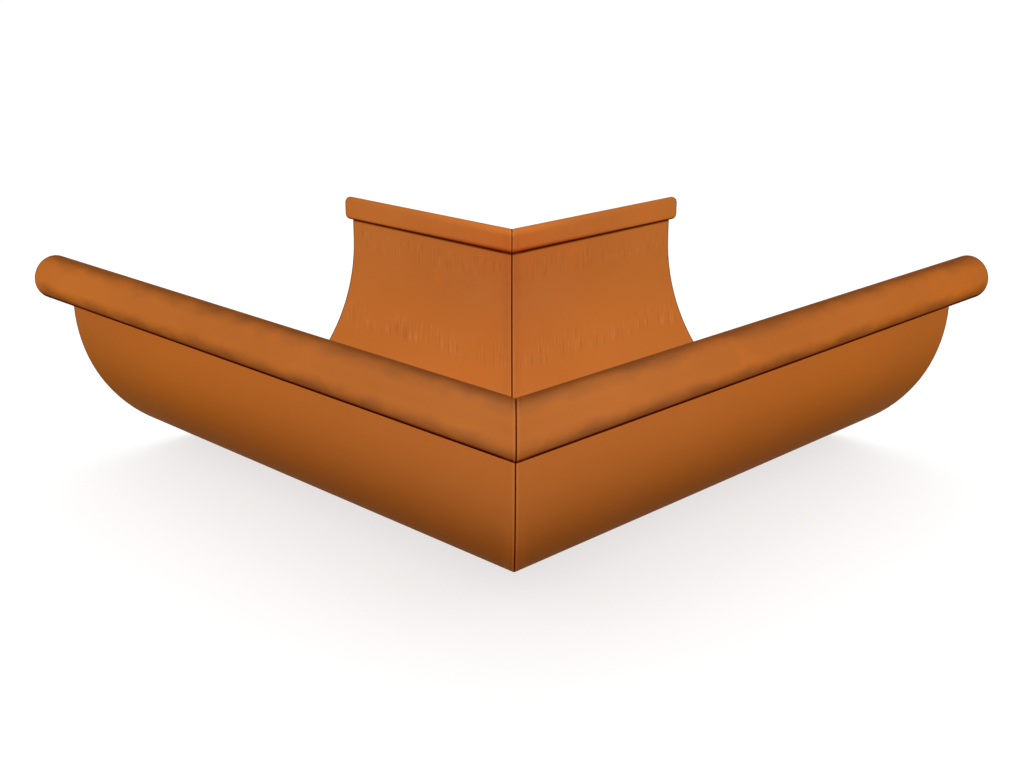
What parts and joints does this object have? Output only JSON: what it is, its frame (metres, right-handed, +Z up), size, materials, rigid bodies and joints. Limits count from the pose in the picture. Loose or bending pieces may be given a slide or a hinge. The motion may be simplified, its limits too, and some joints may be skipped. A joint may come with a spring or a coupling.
{
  "type": "gutter outside miter",
  "caption": "Half-round copper gutter mitre for an outside corner: two folded legs brazed at 90 degrees, with a rolled front bead and a folded hem along the back.",
  "frame": {"origin": "the house corner, where the planes of the two flat backs meet, at the height of the trough's axis, which is where the flat backs begin", "axes": "+X along the right leg and +Y along the left leg, both away from the corner; the right leg's back faces +Y and the left leg's back faces +X, towards the house; +Z up"},
  "size_m": [0.2776, 0.2776, 0.0977],
  "materials": {
    "copper_sheet": "satin copper, lightly toned",
    "brazing_metal": "dull, darkened"
  },
  "bodies": {
    "root": {"right_section": "copper_sheet", "left_section": "copper_sheet", "mitre_seam": "brazing_metal"}
  },
  "joints": []
}
